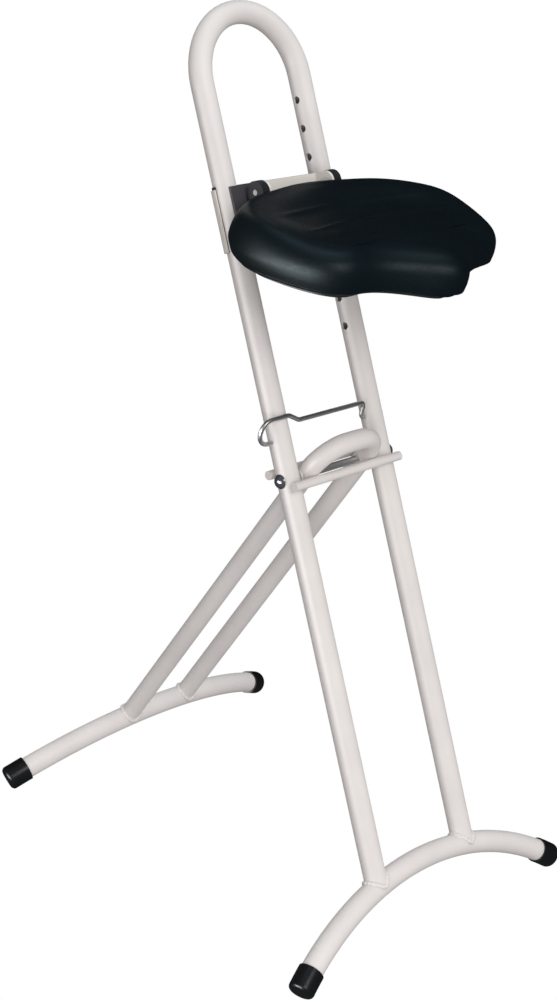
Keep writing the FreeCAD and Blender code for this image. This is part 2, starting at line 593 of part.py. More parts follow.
# Clamp bolts and nuts hold bracket, slider, liner and clamp plate together.
bolts = []
nuts = []
for i, x in enumerate((-S["bolt_half"], S["bolt_half"])):
    for j in range(2):
        z = S["bolt_low"] - S["slide_low"] + j * S["bolt_step"]
        tag = "%d%d" % (i, j)
        head = primitive("Cylinder", "bolt_head_" + tag, FreeCAD.Placement(
            V(x, -S["web_face"] - S["bolt_rise"], z), ALONG_BACK), Radius="Sizes.bolt_head / 2",
            Height="Sizes.bolt_rise")
        shank = primitive("Cylinder", "bolt_shank_" + tag, FreeCAD.Placement(
            V(x, -S["web_face"], z), ALONG_BACK), Radius="Sizes.bolt / 2",
            Height="Sizes.web_face + Sizes.clamp_out + Sizes.nut_thick + Sizes.bolt_tail")
        bolts.append(joined("bolt_" + tag, [head, shank]))
        hexa = primitive("Prism", "nut_body_" + tag, FreeCAD.Placement(
            V(x, S["clamp_out"], z), ALONG_BACK), Circumradius="Sizes.nut_flat / sqrt(3)",
            Height="Sizes.nut_thick")
        hole = primitive("Cylinder", "nut_hole_" + tag, FreeCAD.Placement(
            V(x, S["clamp_out"] - 1, z), ALONG_BACK), Radius="Sizes.bolt / 2 + Sizes.run_fit",
            Height="Sizes.nut_thick + 2")
        nuts.append(minus("nut_" + tag, hexa, hole))
for label, group in (("clamp_bolts", bolts), ("clamp_nuts", nuts)):
    pack = doc.addObject("Part::Compound", label + "_group")
    pack.Links = group
    keep(pack, label, main_at(0, S["slide_low"]))

# Hinge pins: one rivet through each wing into the seat's ear.
ear_out = S["wing_half"] + S["ear_gap"] + S["ear_width"]
pins = []
for side, word in ((-1, "left"), (1, "right")):
    turn = FreeCAD.Rotation(V(0, 1, 0), side * 90)
    inner = S["wing_half"] - S["web_sheet"]
    shank = primitive("Cylinder", word + "_rivet", FreeCAD.Placement(V(side * inner, 0, 0), turn),
                      Radius="Sizes.hinge_pin / 2",
                      Height="Sizes.web_sheet + Sizes.ear_gap + Sizes.ear_width")
    head = primitive("Cylinder", word + "_rivet_head", FreeCAD.Placement(
        V(side * (inner - 2), 0, 0), turn), Radius="0.8 * Sizes.hinge_pin", Height="2")
    pins.append(joined(word + "_hinge_pin", [shank, head]))
pack = doc.addObject("Part::Compound", "hinge_pin_group")
pack.Links = pins
keep(pack, "hinge_pins", main_at(0, S["hinge_level"], S["hinge_n"]))

# Height lock: two pins in one cross bore, pushed apart by a spring, each drawn back by a
# knob behind the clamp plate. Shown drawn back, clear of the holes.
pin_out = S["pitch_half"] - S["groove"] - S["pin_rest"]
for side, word in ((-1, "left"), (1, "right")):
    turn = FreeCAD.Rotation(V(0, 1, 0), side * 90)
    rod = primitive("Cylinder", word + "_pin_rod", FreeCAD.Placement(
        V(side * S["pin_inner"], 0, 0), turn), Radius="Sizes.lock_pin / 2",
        Height="Sizes.pitch_half - Sizes.groove - Sizes.pin_rest - Sizes.pin_inner")
    socket = primitive("Cylinder", word + "_pin_socket", FreeCAD.Placement(
        V(side * S["stem_place"], -S["lock_pin"] / 4, 0), ALONG_BACK),
        Radius="Sizes.knob_stem / 2", Height="Sizes.lock_pin")
    keep(minus(word + "_lock_pin_solid", rod, socket), word + "_lock_pin",
         main_at(0, S["pin_level"]))
    stem = primitive("Cylinder", word + "_knob_stem", FreeCAD.Placement(
        V(side * S["stem_place"], -S["lock_pin"] / 4, 0), ALONG_BACK),
        Radius="Sizes.knob_stem / 2", Height="Sizes.clamp_out + Sizes.knob_stand + "
        "Sizes.lock_pin / 4 + Sizes.knob_thick / 2")
    knob = primitive("Cylinder", word + "_knob_disc", FreeCAD.Placement(
        V(side * S["stem_place"], S["clamp_out"] + S["knob_stand"], 0), ALONG_BACK),
        Radius="Sizes.knob / 2", Height="Sizes.knob_thick")
    keep(joined(word + "_release_knob_solid", [stem, knob]), word + "_release_knob",
         main_at(0, S["pin_level"]))
spring_r = S["lock_pin"] / 2 + S["run_fit"] - S["spring_fit"] - S["spring_wire"] / 2
span = 2 * S["pin_inner"] - S["spring_wire"] - 2 * S["spring_fit"]
helix = Part.makeHelix(span / S["spring_turns"], span, spring_r)
way = helix.Edges[0].tangentAt(helix.Edges[0].FirstParameter)
section = Part.Wire(Part.makeCircle(S["spring_wire"] / 2, V(spring_r, 0, 0), way))
coil = doc.addObject("Part::Feature", "lock_spring_solid")
coil.Shape = Part.Wire(helix.Edges).makePipeShell([section], True, True)
keep(coil, "lock_spring", main_at(-span / 2, S["pin_level"], 0, ALONG_X))


# Seat: a moulded saddle cushion with side wings and a nose, on a hard base with two hinge ears.
def seat_ring(level, inset):
    """Closed smooth outline at a level, drawn in by inset. Forward is -Y."""
    half = [(0, S["rear_mid"]), (S["rear_half"], S["rear_place"]),
            (S["corner_half"], S["corner_place"]), (S["side_half"], S["side_rear"]),
            (S["side_half"], S["side_front"]), (S["wing_tip_half"], S["wing_tip_place"]),
            (S["waist_half"], S["waist_place"]), (S["nose_half"], S["nose_side"]),
            (0, S["nose_place"])]
    full = half + [(-x, y) for x, y in half[-2:0:-1]]
    count = len(full)
    points = []
    for k in range(count):
        x0, y0 = full[k - 1]
        x1, y1 = full[(k + 1) % count]
        long = math.hypot(x1 - x0, y1 - y0)
        nx, ny = (y1 - y0) / long, -(x1 - x0) / long
        x, y = full[k]
        points.append(V(x - nx * inset, -(y - ny * inset), level))
    curve = Part.BSplineCurve()
    curve.interpolate(Points=points, PeriodicFlag=True)
    return Part.Wire(curve.toShape())


def prism(points, x0, x1):
    """Solid of a side outline given as forward distance and level, from x0 to x1."""
    spots = [V(x0, -a, z) for a, z in points]
    face = Part.Face(Part.makePolygon(spots + spots[:1]))
    return face.extrude(V(x1 - x0, 0, 0))


low, top = S["seat_low"], S["seat_top"]
bulge = S["bulge_level"]
rings = [
    seat_ring(low, S["low_inset"]),
    seat_ring(low + 0.35 * (bulge - low), S["low_inset"] * 0.35),
    seat_ring(bulge, 0.0),
    seat_ring(bulge + 0.6 * (top - bulge), S["top_inset"] * 0.35),
    seat_ring(top, S["top_inset"]),
    seat_ring(top - 0.4 * S["dish"], 0.6 * S["dish_inset"]),
    seat_ring(top - S["dish"], S["dish_inset"]),
]
form = Part.makeLoft(rings, True, False)
ear_in = S["wing_half"] + S["ear_gap"]
edge = S["ear_round"] + S["ear_clear"]
slope = math.tan(math.radians(36.7))
# The notch's front runs clear of the bracket wings, which lean in the seat's own frame.
wing_lean = math.radians(S["lean"] + S["seat_tilt"])
bend_at = (S["wing_round"] + 2 * S["ear_gap"] - edge * math.cos(wing_lean)) / math.sin(wing_lean)
notch = [(-40, 30), (edge, 30), (edge, bend_at), (edge + slope * (-6 - low + 1), low - 1),
         (-40, low - 1)]
tongue_half = S["wing_half"] - S["web_sheet"] - S["tongue_play"]
for side in (-1, 1):
    a, c = tongue_half, ear_out + S["ear_clear"]
    form = form.cut(prism(notch, a, c) if side > 0 else prism(notch, -c, -a))
tongue = [(-40, 30), (-40, low - 1), (16, low - 1), (1.5, bulge + 6), (1.5, 30)]
form = form.cut(prism(tongue, -tongue_half - 1, tongue_half + 1))
screws = []
for x in (-S["screw_half"], S["screw_half"]):
    for y in (S["screw_rear"], S["screw_front"]):
        spot = V(x, -y, low - S["base_sheet"])
        form = form.cut(Part.makeCylinder(S["screw"] / 2 + S["run_fit"], S["screw_long"] + 1, spot))
        head = Part.makeCylinder(S["screw_head"] / 2, S["screw_rise"],
                                 V(x, -y, low - S["base_sheet"] - S["screw_rise"]))
        screws.append(head.fuse(Part.makeCylinder(S["screw"] / 2, S["screw_long"], spot)))
cushion = doc.addObject("Part::Feature", "seat_cushion_solid")
cushion.Shape = form
keep(cushion, "seat_cushion", seat_at())

plate = Part.Face(seat_ring(low - S["base_sheet"], S["base_inset"]))
plate = plate.extrude(V(0, 0, S["base_sheet"]))
foot = low - S["base_sheet"]
dip = -foot * math.sin(math.radians(S["seat_tilt"]))
wing_front = (S["wing_round"] + 2 * S["ear_gap"] - foot * math.sin(lean)) / math.cos(lean) + dip
for side in (-1, 1):
    a, c = S["wing_half"] - S["web_sheet"] - S["ear_gap"], ear_in
    slot = [(-40, low + 1), (-40, foot - 1), (wing_front, foot - 1), (wing_front, low + 1)]
    plate = plate.cut(prism(slot, a, c) if side > 0 else prism(slot, -c, -a))
rest_edge = (-S["hinge_off"] + S["stop_gap"] - foot * math.sin(lean)) / math.cos(lean) + dip
plate = plate.cut(prism([(-40, low + 1), (-40, foot - 1), (rest_edge, foot - 1),
                         (rest_edge, low + 1)], -ear_in, ear_in))
r_ear = S["ear_round"]
arm = [(-r_ear * 0.5, -r_ear * 0.86), (12, foot), (edge - 1 + slope * (-6 - foot), foot),
       (r_ear * 0.86, -r_ear * 0.5), (0, 0)]
for side in (-1, 1):
    x0 = ear_in if side > 0 else -ear_out
    disc = Part.makeCylinder(r_ear, S["ear_width"], V(x0, 0, 0), V(1, 0, 0))
    ear = disc.fuse(prism(arm, x0, x0 + S["ear_width"]))
    plate = plate.fuse(ear)
bore = Part.makeCylinder(S["hinge_pin"] / 2 + S["run_fit"], 2 * ear_out + 2,
                         V(-ear_out - 1, 0, 0), V(1, 0, 0))
plate = plate.cut(bore)
for x in (-S["screw_half"], S["screw_half"]):
    for y in (S["screw_rear"], S["screw_front"]):
        plate = plate.cut(Part.makeCylinder(S["screw"] / 2 + S["run_fit"], 2 * S["base_sheet"],
                                            V(x, -y, foot - 1)))
base = doc.addObject("Part::Feature", "seat_base_solid")
base.Shape = plate.removeSplitter()
keep(base, "seat_base", seat_at())
group = doc.addObject("Part::Feature", "seat_screw_group")
group.Shape = Part.makeCompound(screws)
keep(group, "seat_screws", seat_at())

doc.recompute()
# The origin is the middle of the footprint, on the floor.
box = FreeCAD.BoundBox()
for obj in parts:
    box.add(obj.Shape.optimalBoundingBox(False, False))
shift = V(-(box.XMin + box.XMax) / 2, -(box.YMin + box.YMax) / 2, 0)
for obj in parts:
    obj.Placement = FreeCAD.Placement(shift, FreeCAD.Rotation()).multiply(obj.Placement)
doc.recompute()

for obj in doc.Objects:
    if "Invalid" in obj.State or "Error" in obj.State:
        raise RuntimeError("%s failed: %s" % (obj.Label, obj.State))
for obj in parts:
    if obj.Shape.isNull() or not obj.Shape.isValid() or obj.Shape.Volume <= 0:
        raise RuntimeError("%s has no valid shape" % obj.Label)

os.makedirs("parts", exist_ok=True)
for obj in parts:
    obj.Shape.exportStep("parts/%s.step" % obj.Label)
    b = obj.Shape.optimalBoundingBox(False, False)
    print("%-22s solids %d  x %.1f %.1f  y %.1f %.1f  z %.1f %.1f" % (
        obj.Label, len(obj.Shape.Solids), b.XMin, b.XMax, b.YMin, b.YMax, b.ZMin, b.ZMax))
print("shift", shift, "catch lean", catch_lean)
for obj in parts:
    for face in obj.Shape.Faces:
        if "foot_cap" in obj.Label and abs(face.CenterOfMass.z) < 0.01:
            print("sole", obj.Label, face.CenterOfMass, face.Area)
print("pivot", shift + rear_at().Base, "catch", shift + main_at(0, S["catch_level"]).Base,
      "hinge", shift + seat_at().Base)
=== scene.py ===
import math

import bmesh
import bpy
import numpy as np
from mathutils import Matrix, Vector
from mathutils.bvhtree import BVHTree


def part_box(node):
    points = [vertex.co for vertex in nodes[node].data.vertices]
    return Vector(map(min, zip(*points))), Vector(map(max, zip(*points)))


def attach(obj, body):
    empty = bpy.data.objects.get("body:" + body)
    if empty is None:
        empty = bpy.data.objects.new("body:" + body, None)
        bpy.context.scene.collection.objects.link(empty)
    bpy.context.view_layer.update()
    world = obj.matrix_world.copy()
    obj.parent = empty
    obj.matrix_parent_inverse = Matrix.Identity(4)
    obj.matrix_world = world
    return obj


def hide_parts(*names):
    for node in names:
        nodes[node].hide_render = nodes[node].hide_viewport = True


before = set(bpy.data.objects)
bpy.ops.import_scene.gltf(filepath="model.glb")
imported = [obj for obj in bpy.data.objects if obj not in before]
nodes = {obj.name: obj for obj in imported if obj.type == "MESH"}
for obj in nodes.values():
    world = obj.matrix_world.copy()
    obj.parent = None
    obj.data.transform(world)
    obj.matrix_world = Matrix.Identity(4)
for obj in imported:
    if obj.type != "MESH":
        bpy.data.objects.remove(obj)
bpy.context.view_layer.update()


def middle_of(node):
    low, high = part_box(node)
    return (low + high) / 2


# Middles of the frame's pivot and of the seat's hinge.
PIVOT = middle_of("pivot_axle")
HINGE = middle_of("hinge_pins")

# Materials. Each is a small node tree: colour variation, roughness and bump.
# Most of a noise texture lies between these two values.
NOISE_LOW, NOISE_HIGH = 0.35, 0.65
ROUGH_SPREAD = 0.04


def shader(name):
    mat = bpy.data.materials.new(name)
    mat.use_nodes = True
    tree = mat.node_tree
    return mat, tree, tree.nodes["Principled BSDF"]


def texture(tree, kind, scale, detail, stretch=None):
    coords = tree.nodes.new("ShaderNodeTexCoord")
    tex = tree.nodes.new(kind)
    tex.inputs["Scale"].default_value = scale
    tex.inputs["Detail"].default_value = detail
    source = coords.outputs["Object"]
    if stretch:
        mapping = tree.nodes.new("ShaderNodeMapping")
        mapping.inputs["Scale"].default_value = stretch
        tree.links.new(source, mapping.inputs["Vector"])
        source = mapping.outputs["Vector"]
    tree.links.new(source, tex.inputs["Vector"])
    return tex


def vary(tree, out, low, high):
    """Spreads a noise texture's usual values between low and high."""
    ramp = tree.nodes.new("ShaderNodeMapRange")
    ramp.inputs["From Min"].default_value = NOISE_LOW
    ramp.inputs["From Max"].default_value = NOISE_HIGH
    ramp.inputs["To Min"].default_value = low
    ramp.inputs["To Max"].default_value = high
    tree.links.new(out, ramp.inputs["Value"])
    return ramp.outputs["Result"]


def tint(tree, share, dark, light):
    mix = tree.nodes.new("ShaderNodeMix")
    mix.data_type = "RGBA"
    mix.inputs["A"].default_value = (*dark, 1)
    mix.inputs["B"].default_value = (*light, 1)
    tree.links.new(share, mix.inputs["Factor"])
    return mix.outputs["Result"]


def bump(tree, bsdf, out, strength, distance):
    node = tree.nodes.new("ShaderNodeBump")
    node.inputs["Strength"].default_value = strength
    node.inputs["Distance"].default_value = distance
    tree.links.new(out, node.inputs["Height"])
    tree.links.new(node.outputs["Normal"], bsdf.inputs["Normal"])


def plain(name, dark, light, rough, metal=0.0, grain=900.0, depth=0.00002, coat=0.0, stretch=None):
    """Broad patches of colour, and a fine grain in roughness and bump."""
    mat, tree, bsdf = shader(name)
    wide = texture(tree, "ShaderNodeTexNoise", scale=18.0, detail=3.0)
    fine = texture(tree, "ShaderNodeTexNoise", scale=grain, detail=2.0, stretch=stretch)
    colour = tint(tree, vary(tree, wide.outputs["Fac"], 0, 1), dark, light)
    tree.links.new(colour, bsdf.inputs["Base Color"])
    uneven = vary(tree, fine.outputs["Fac"], rough - ROUGH_SPREAD, rough + ROUGH_SPREAD)
    tree.links.new(uneven, bsdf.inputs["Roughness"])
    bump(tree, bsdf, fine.outputs["Fac"], strength=0.5, distance=depth)
    bsdf.inputs["Metallic"].default_value = metal
    bsdf.inputs["Coat Weight"].default_value = coat
    bsdf.inputs["Coat Roughness"].default_value = 0.25
    return mat


PAINT = plain("powder_coat", (0.74, 0.715, 0.70), (0.79, 0.765, 0.745), rough=0.46, grain=700,
              depth=0.00004, coat=0.04)
CREAM = plain("bracket_coat", (0.80, 0.765, 0.71), (0.85, 0.815, 0.765), rough=0.42, grain=700,
              depth=0.00004, coat=0.15)
RUBBER = plain("cap_rubber", (0.0025, 0.003, 0.004), (0.005, 0.005, 0.006), rough=0.30, grain=1500,
               depth=0.00003)
SLIDER = plain("slider_plastic", (0.055, 0.052, 0.064), (0.070, 0.066, 0.078), rough=0.5, grain=1600,
               depth=0.00003)
LINER = plain("liner_plastic", (0.020, 0.020, 0.024), (0.028, 0.028, 0.032), rough=0.5, grain=1600,
              depth=0.00002)
BASE = plain("base_plastic", (0.012, 0.014, 0.016), (0.020, 0.023, 0.025), rough=0.4, grain=1400,
             depth=0.00003)
GLOSS = plain("cap_dark", (0.20, 0.20, 0.22), (0.26, 0.26, 0.28), rough=0.16, metal=0.8, grain=300,
              depth=0.00001)
NYLON = plain("spacer_nylon", (0.68, 0.66, 0.62), (0.72, 0.70, 0.66), rough=0.45, grain=900)
STEEL = plain("zinc_steel", (0.60, 0.60, 0.62), (0.70, 0.70, 0.71), rough=0.33, metal=1.0, grain=400,
              depth=0.00001, stretch=(6, 1, 1))
WIRE = plain("zinc_wire", (0.56, 0.56, 0.57), (0.68, 0.67, 0.67), rough=0.36, metal=1.0, grain=500,
             depth=0.00002)


def foam_skin():
    """Self-skinned foam: near black with a faint blue cast and fine pores."""
    mat, tree, bsdf = shader("foam_skin")
    wide = texture(tree, "ShaderNodeTexNoise", scale=14.0, detail=4.0)
    pore = texture(tree, "ShaderNodeTexVoronoi", scale=1500.0, detail=4.0)
    fine = texture(tree, "ShaderNodeTexNoise", scale=420.0, detail=5.0)
    colour = tint(tree, vary(tree, wide.outputs["Fac"], 0, 1), (0.0003, 0.0030, 0.0054),
                  (0.0007, 0.0042, 0.0074))
    tree.links.new(colour, bsdf.inputs["Base Color"])
    tree.links.new(vary(tree, fine.outputs["Fac"], 0.40, 0.50), bsdf.inputs["Roughness"])
    # Height is a share of the pores plus the fine noise.
    both = tree.nodes.new("ShaderNodeMath")
    both.operation = "MULTIPLY_ADD"
    tree.links.new(pore.outputs["Distance"], both.inputs[0])
    both.inputs[1].default_value = 0.6
    tree.links.new(fine.outputs["Fac"], both.inputs[2])
    bump(tree, bsdf, both.outputs["Value"], strength=0.35, distance=0.00012)
    bsdf.inputs["Specular IOR Level"].default_value = 0.32
    bsdf.inputs["Specular Tint"].default_value = (0.80, 0.95, 1.0, 1)
    return mat


FOAM = foam_skin()


def paint_node(mat, *names):
    for name in names:
        data = nodes[name].data
        data.materials.clear()
        data.materials.append(mat)


paint_node(PAINT, "main_tube", "front_foot_tube", "front_stop_rod", "rear_stop_rod", "rear_tube",
           "rear_foot_tube")
paint_node(CREAM, "clamp_plate", "seat_bracket")
paint_node(RUBBER, "front_left_foot_cap", "front_right_foot_cap", "rear_left_foot_cap",
           "rear_right_foot_cap")
paint_node(STEEL, "pivot_axle", "clamp_bolts", "clamp_nuts", "hinge_pins", "lock_spring",
           "left_lock_pin", "right_lock_pin", "seat_screws")
paint_node(GLOSS, "left_axle_cap", "right_axle_cap")
paint_node(LINER, "slider_liner")
paint_node(NYLON, "left_pivot_spacer", "right_pivot_spacer")
paint_node(SLIDER, "front_slider", "left_release_knob", "right_release_knob")
paint_node(BASE, "seat_base")
paint_node(WIRE, "wire_catch")
paint_node(FOAM, "seat_cushion")


def smooth_by_angle(obj, degrees):
    data = obj.data
    data.polygons.foreach_set("use_smooth", [True] * len(data.polygons))
    data.set_sharp_from_angle(angle=math.radians(degrees))


for obj in nodes.values():
    smooth_by_angle(obj, degrees=35)


def solid_object(name, spots, faces, merge=None):
    """Object with its faces turned outward. Spots closer than merge become one."""
    data = bpy.data.meshes.new(name)
    data.from_pydata([tuple(v) for v in spots], [], faces)
    work = bmesh.new()
    work.from_mesh(data)
    if merge:
        bmesh.ops.remove_doubles(work, verts=work.verts, dist=merge)
    bmesh.ops.recalc_face_normals(work, faces=work.faces)
    work.to_mesh(data)
    work.free()
    obj = bpy.data.objects.new(name, data)
    bpy.context.collection.objects.link(obj)
    return obj


# Seat form: closed outlines at rising levels, joined into one smooth skin.
# Millimetres from the hinge axis: half width and distance forward.
SEAT_HALF = [(0, -3), (59, 5), (108, 21), (154, 77), (154, 118), (110, 189), (84, 194), (34, 221),
             (0, 240)]
SEAT_LOOP = SEAT_HALF + [(-x, y) for x, y in SEAT_HALF[-2:0:-1]]
# Level and inset of the outline, upward: a firm lip at the rear, softer in front.
REAR_WALL = [(-35, 3.9), (-28, 1.2), (-21, 0), (-10, 2.4), (-1, 6.4), (6.2, 12.5), (9.6, 20),
             (9.2, 30)]
FRONT_WALL = [(-36, 2.0), (-28, 0.2), (-20, 0), (-13, 1.4), (-6.5, 5.2), (-1.4, 11.5), (1.8, 19),
              (4, 30)]
LOWER_EDGE = [(-42, 30), (-42, 12.5), (-41.6, 11.2), (-40.4, 9.6), (-39.0, 8.4), (-38.4, 8.6),
              (-38.0, 7.9), (-37.4, 6.2)]
UNDERSIDE = -42
# The rings of the top and the underside start this far in from the outline and close on a spine
# between two forward distances.
LIP_INSET = 30
SPINE_REAR, SPINE_FRONT = 62, 186
# Forward distances between which the lip turns soft and the dish rises to the front.
FIRM_UNTIL, SOFT_FROM = 75, 165
DISH_UNTIL, FULL_FROM = 100, 185
# Levels: the lip in front and what the rear adds to it, the dish and what the front adds to it.
FRONT_LIP, REAR_EXTRA = 4.0, 5.2
DISH, FRONT_EXTRA = 1.5, 5.5
# Distances in from the outline between which the lip passes into the middle.
LIP_UNTIL, MIDDLE_FROM = 28, 80
# Two faint moulded lines: forward distance at the middle, bend and height; then what fades them.
RIDGES = ((66, 0.0012, 0.8), (107, 0.0014, 1.0))
RIDGE_WIDTH = 3.6
RIDGE_FULL_TO, RIDGE_ENDS_AT = 78, 118
RIDGE_FROM, RIDGE_FULL_FROM = 30, 42
# Degrees that the seat leans back at rest.
SEAT_LEAN = 2.5
# Points round a ring, steps between two wall points, and rings across the top and the underside.
AROUND = 400
WALL_STEPS = 6
TOP_RINGS = 36
UNDER_RINGS = 4
MERGE_METRES = 0.00002


def closed_curve(points, count):
    """Smooth periodic curve through points, sampled evenly along its knots."""
    pts = np.array(points, float)
    n = len(pts)
    gap = np.linalg.norm(np.roll(pts, -1, 0) - pts, axis=1)
    knots = np.concatenate([[0], np.cumsum(gap)])
    system = np.zeros((n, n))
    target = np.zeros((n, 2))
    for i in range(n):
        back, ahead = pts[i] - pts[i - 1], pts[(i + 1) % n] - pts[i]
        h0, h1 = gap[i - 1], gap[i]
        system[i, i - 1] += h1
        system[i, i] += 2 * (h0 + h1)
        system[i, (i + 1) % n] += h0
        target[i] = 3 * (h1 * back / h0 + h0 * ahead / h1)
    slope = np.linalg.solve(system, target)
    out = []
    for u in np.linspace(0, knots[-1], count, endpoint=False):
        k = min(np.searchsorted(knots, u, "right") - 1, n - 1)
        h = gap[k]
        t = (u - knots[k]) / h
        p0, p1 = pts[k], pts[(k + 1) % n]
        m0, m1 = slope[k] * h, slope[(k + 1) % n] * h
        out.append((2 * t ** 3 - 3 * t ** 2 + 1) * p0 + (t ** 3 - 2 * t ** 2 + t) * m0
                   + (3 * t ** 2 - 2 * t ** 3) * p1 + (t ** 3 - t ** 2) * m1)
    return np.array(out)


def eased(points, steps):
    """Smooth open curve through points."""
    pts = np.array(points, float)
    pts = np.vstack([2 * pts[0] - pts[1], pts, 2 * pts[-1] - pts[-2]])
    out = []
    for k in range(1, len(pts) - 2):
        p0, p1, p2, p3 = pts[k - 1:k + 3]
        for t in np.linspace(0, 1, steps, endpoint=False):
            out.append(0.5 * (2 * p1 + (p2 - p0) * t + (2 * p0 - 5 * p1 + 4 * p2 - p3) * t * t
                              + (3 * p1 - p0 - 3 * p2 + p3) * t ** 3))
    out.append(pts[-2])
    return out


def seat_loop(inset):
    """The seat's outline moved inward."""
    pts = np.array(SEAT_LOOP, float)
    way = np.roll(pts, -1, 0) - np.roll(pts, 1, 0)
    way /= np.linalg.norm(way, axis=1, keepdims=True)
    side = np.stack([way[:, 1], -way[:, 0]], 1)
    return closed_curve(pts - side * inset, AROUND)


def swell(value, start, end):
    """0 before start, 1 past end and smooth between them."""
    share = min(max((value - start) / (end - start), 0.0), 1.0)
    return share * share * (3 - 2 * share)


def ridge(x, y):
    """Height of the moulded lines, which fade towards the sides."""
    lines = sum(height * math.exp(-((y - place - bend * x * x) / RIDGE_WIDTH) ** 2)
                for place, bend, height in RIDGES)
    return swell(abs(x), RIDGE_ENDS_AT, RIDGE_FULL_TO) * lines


def firmness(y):
    """1 at the firm rear lip, 0 at the soft front."""
    return swell(y, SOFT_FROM, FIRM_UNTIL)


def top_level(x, y, reach):
    """Level inside the lip: the rear is dished, the front rises to the middle."""
    lip = FRONT_LIP + REAR_EXTRA * firmness(y)
    middle = DISH + FRONT_EXTRA * swell(y, DISH_UNTIL, FULL_FROM)
    level = lip + (middle - lip) * swell(reach, LIP_UNTIL, MIDDLE_FROM)
    return level + ridge(x, y) * swell(reach, RIDGE_FROM, RIDGE_FULL_FROM)


def seat_rings():
    """Rings from the middle of the underside, up the wall, to the middle of the top."""
    outer = seat_loop(0)
    inner = seat_loop(LIP_INSET)
    spine = np.stack([np.zeros(AROUND), np.clip(inner[:, 1], SPINE_REAR, SPINE_FRONT)], 1)
    rings = []
    for k in range(UNDER_RINGS, 0, -1):
        rings.append([(x, y, UNDERSIDE) for x, y in inner + k / UNDER_RINGS * (spine - inner)])
    for level, inset in LOWER_EDGE:
        rings.append([(x, y, level) for x, y in seat_loop(inset)])
    for rear, front in zip(eased(REAR_WALL, WALL_STEPS), eased(FRONT_WALL, WALL_STEPS)):
        line = []
        for (ax, ay), (bx, by), (_, place) in zip(seat_loop(rear[1]), seat_loop(front[1]), inner):
            w = firmness(place)
            line.append((w * ax + (1 - w) * bx, w * ay + (1 - w) * by,
                         w * rear[0] + (1 - w) * front[0]))
        rings.append(line)
    for k in range(1, TOP_RINGS + 1):
        spots = inner + k / TOP_RINGS * (spine - inner)
        reach = [np.hypot(*(outer - spot).T).min() for spot in spots]
        rings.append([(x, y, top_level(x, y, r)) for (x, y), r in zip(spots, reach)])
    return rings


SEAT_PLACE = Matrix.Translation(HINGE) @ Matrix.Rotation(math.radians(SEAT_LEAN), 4, "X")


def seat_spot(x, forward, level):
    return SEAT_PLACE @ Vector((x / 1000, -forward / 1000, level / 1000))


def prism(name, outline, x0, x1):
    """Cutter with a side outline given as forward distance and level."""
    n = len(outline)
    faces = [tuple(range(n)), tuple(range(2 * n - 1, n - 1, -1))]
    faces += [(i, (i + 1) % n, n + (i + 1) % n, n + i) for i in range(n)]
    return solid_object(name, [seat_spot(x, a, z) for x in (x0, x1) for a, z in outline], faces)


def cut_away(obj, cutters):
    for cutter in cutters:
        step = obj.modifiers.new("cut", "BOOLEAN")
        step.operation = "DIFFERENCE"
        step.solver = "EXACT"
        step.object = cutter
    bpy.context.view_layer.update()
    shape = bpy.data.meshes.new_from_object(obj.evaluated_get(bpy.context.evaluated_depsgraph_get()))
    obj.modifiers.clear()
    old, obj.data = obj.data, shape
    bpy.data.meshes.remove(old)
    for cutter in cutters:
        data = cutter.data
        bpy.data.objects.remove(cutter)
        bpy.data.meshes.remove(data)


# Room at the rear for the bracket's wings and the hinge ears, and for the bracket's web.
EAR_ROOM = [(-40, 30), (13.5, 30), (13.5, 1.6), (41.1, -43), (-40, -43)]
EAR_INSIDE, EAR_OUTSIDE = 42, 61
WEB_ROOM = [(-40, 30), (-40, -43), (16, -43), (1.5, -16), (1.5, 30)]
WEB_HALF = 43


def seat_skin():
    rings = seat_rings()
    spots = [seat_spot(*spot) for line in rings for spot in line]
    faces = []
    for k in range(len(rings) - 1):
        low, high = k * AROUND, (k + 1) * AROUND
        for i in range(AROUND):
            j = (i + 1) % AROUND
            faces.append((low + i, low + j, high + j, high + i))
    obj = solid_object("seat_cushion_skin", spots, faces, MERGE_METRES)
    cut_away(obj, [prism("left_room", EAR_ROOM, -EAR_OUTSIDE, -EAR_INSIDE),
                   prism("right_room", EAR_ROOM, EAR_INSIDE, EAR_OUTSIDE),
                   prism("web_room", WEB_ROOM, -WEB_HALF, WEB_HALF)])
    obj.data.materials.clear()
    obj.data.materials.append(FOAM)
    smooth_by_angle(obj, degrees=40)
    return obj


seat = seat_skin()
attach(seat, "seat")
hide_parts("seat_cushion")

# Weld beads round the legs where they meet the arched feet. Lengths in metres.
# Half the distance between two legs and their lean.
MAIN_LEG_X, MAIN_LEAN = 0.07225, math.radians(26.5)
REAR_LEG_X, REAR_LEAN = 0.04565, math.radians(29.6)
# Where rays start down the leg, and where the nearest skin is taken when a ray misses it.
START_HEIGHT = 0.13
NEAREST_BELOW = 0.06
IN_LEG = 0.0002
BEAD_RADIUS = 0.0027
BEAD_OUT = 0.0004
RIPPLES = 22
RIPPLE_SHARE = 0.10
NEIGHBOURS = (-2, -1, 0, 1, 2)
TURNS = 120
SIDES = 10


def leg_radius(name, x):
    """Radius of a loop's tube, from the loop's outer side and its leg's axis."""
    obj = nodes[name]
    return max((obj.matrix_world @ v.co).x for v in obj.data.vertices) - x


